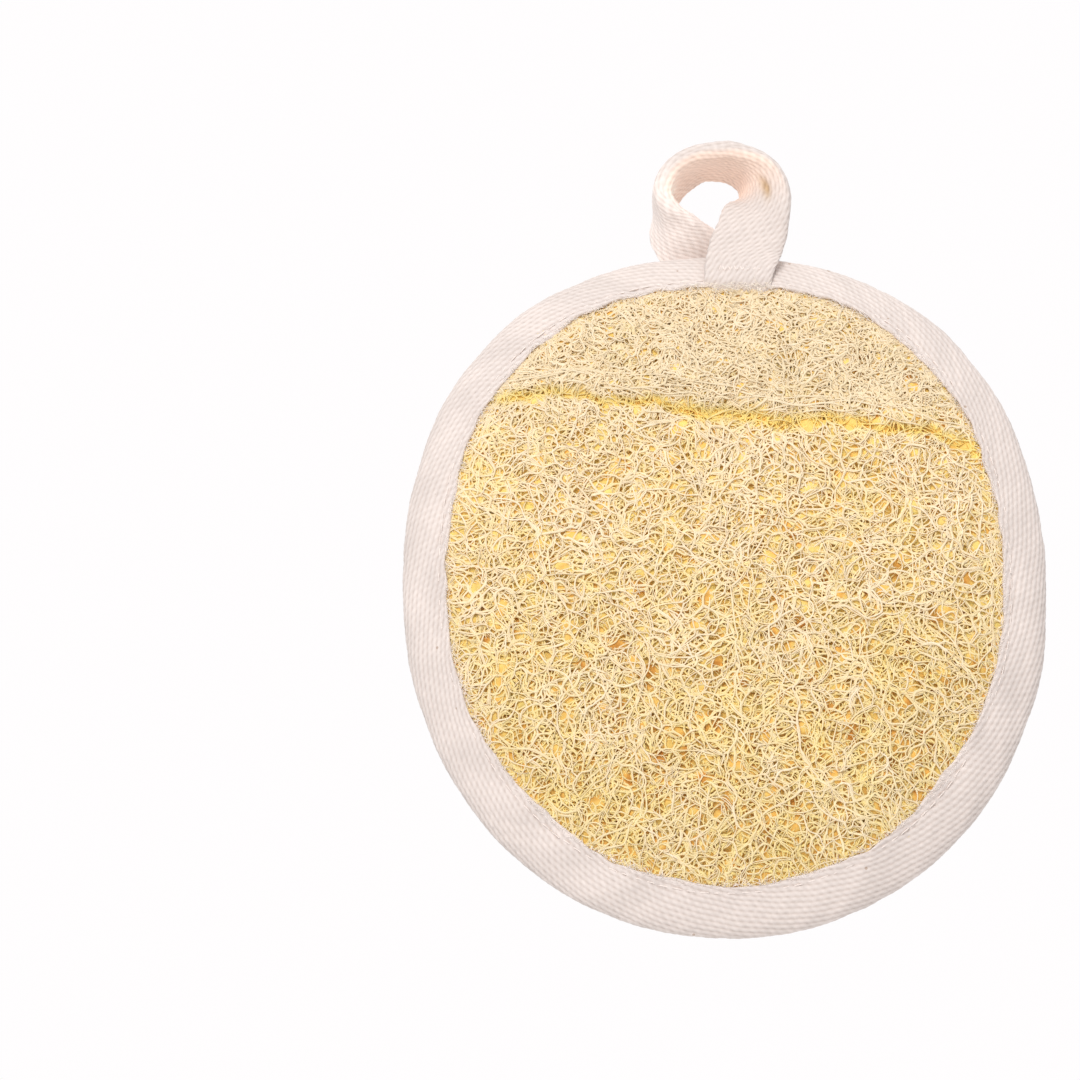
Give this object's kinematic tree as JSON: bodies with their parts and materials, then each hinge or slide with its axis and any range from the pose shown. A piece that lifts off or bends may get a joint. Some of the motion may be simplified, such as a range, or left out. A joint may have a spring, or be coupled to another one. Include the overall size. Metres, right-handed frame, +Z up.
{
  "type": "loofah hand scrubber pad",
  "caption": "Oval bath scrubber pad: loofah face, terry cloth back, twill-bound edge, arched hand strap across the back and a hanging loop at the top.",
  "frame": {"origin": "inside top of the hanging loop's eye, where a hook carries the pad", "axes": "+Z up from the pad to the loop, -Y out of the loofah face, +Y out of the terry face with the strap, +X to the right seen from the loofah side"},
  "size_m": [0.14, 0.0462, 0.1851],
  "materials": {
    "loofah": "dry matt plant fibre, open mesh",
    "wadding": "matt",
    "terry": "matt looped pile",
    "binding": "matt herringbone twill",
    "loop": "matt herringbone twill",
    "strap": "matt herringbone twill",
    "thread": "matt cotton thread"
  },
  "bodies": {
    "pad": {"loofah_panel": "loofah", "padding_core": "wadding", "terry_panel": "terry", "edge_binding": "binding", "front_topstitch": "thread", "back_topstitch": "thread", "loop_tack": "thread"},
    "loop": {"hanging_loop": "loop"},
    "strap": {"hand_strap": "strap"}
  },
  "joints": [
    {"name": "loop_flex", "type": "hinge", "parent": "pad", "child": "loop", "pos_m": [0, 0, -0.0223], "axis": [1, 0, 0], "range_deg": [-80, 80], "stiffness_Nm_per_rad": 0.004, "deforming": ["hanging_loop"]},
    {"name": "strap_press", "type": "slide", "parent": "pad", "child": "strap", "axis": [0, 1, 0], "range_m": [-0.0185, 0.004], "stiffness_N_per_m": 20, "deforming": ["hand_strap"]}
  ]
}
